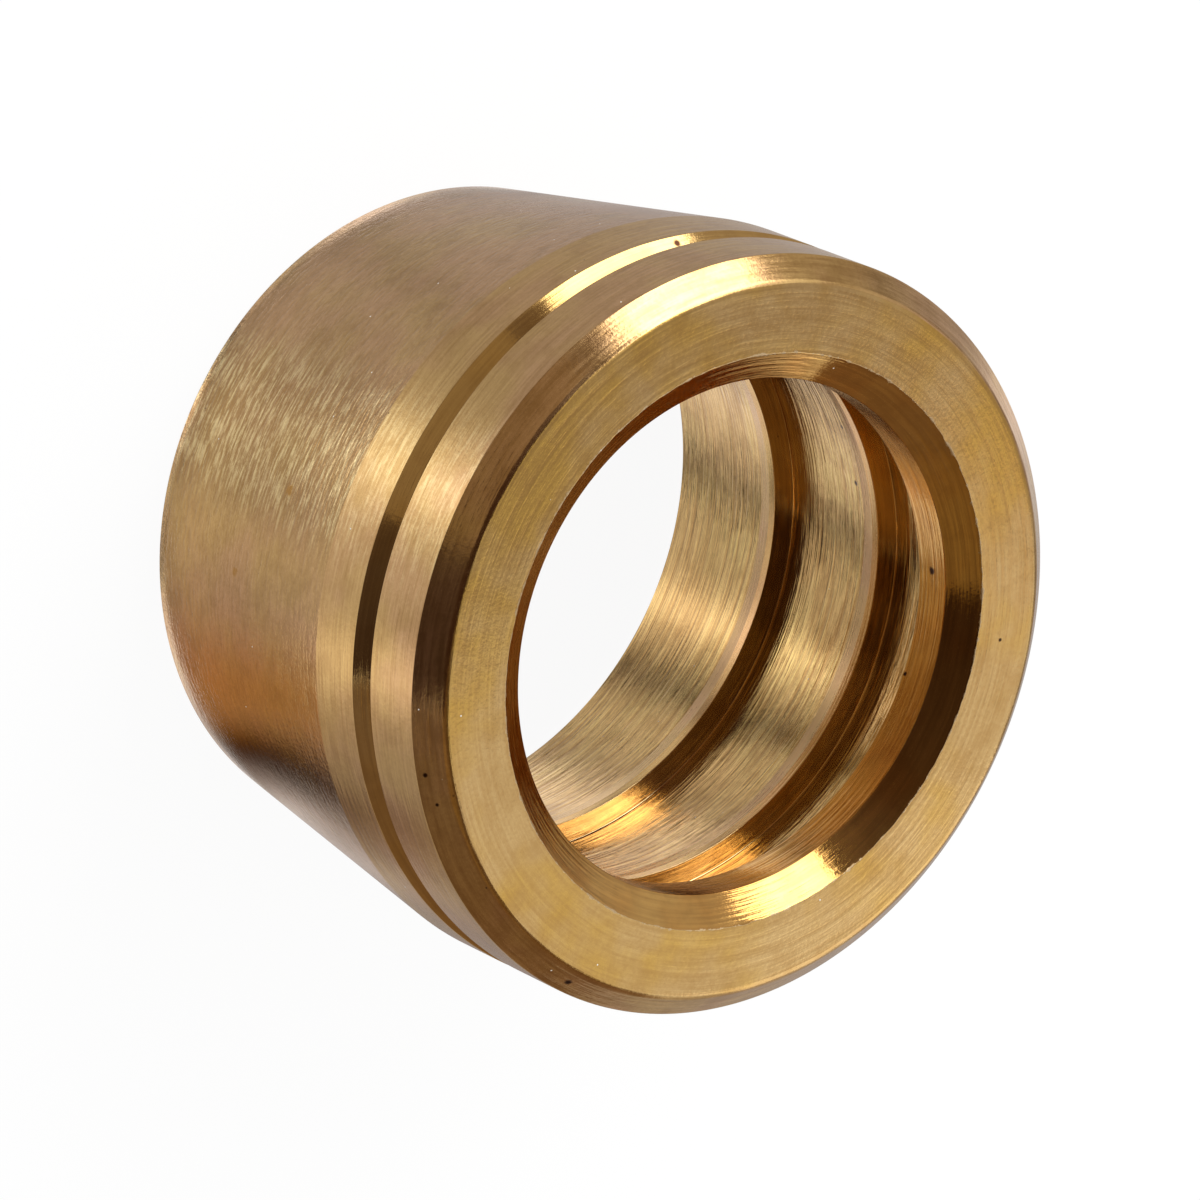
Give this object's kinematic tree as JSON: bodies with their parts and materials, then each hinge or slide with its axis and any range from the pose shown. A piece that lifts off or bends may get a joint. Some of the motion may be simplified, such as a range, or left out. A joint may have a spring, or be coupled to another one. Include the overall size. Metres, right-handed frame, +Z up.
{
  "type": "compression olive",
  "caption": "Turned brass compression olive with a tapered nose, a V-grooved chamfered head and a stepped bore with grip teeth and a pipe stop.",
  "frame": {"origin": "on the bore axis, in the plane of the nose end that the olive stands on", "axes": "+Z up along the bore, from the tapered nose to the flat face with the countersunk mouth"},
  "size_m": [0.02, 0.02, 0.0139],
  "materials": {
    "brass": "turned brass, satin outside, bright in the groove, chamfers and bore"
  },
  "bodies": {
    "root": {"olive": "brass"}
  },
  "joints": []
}
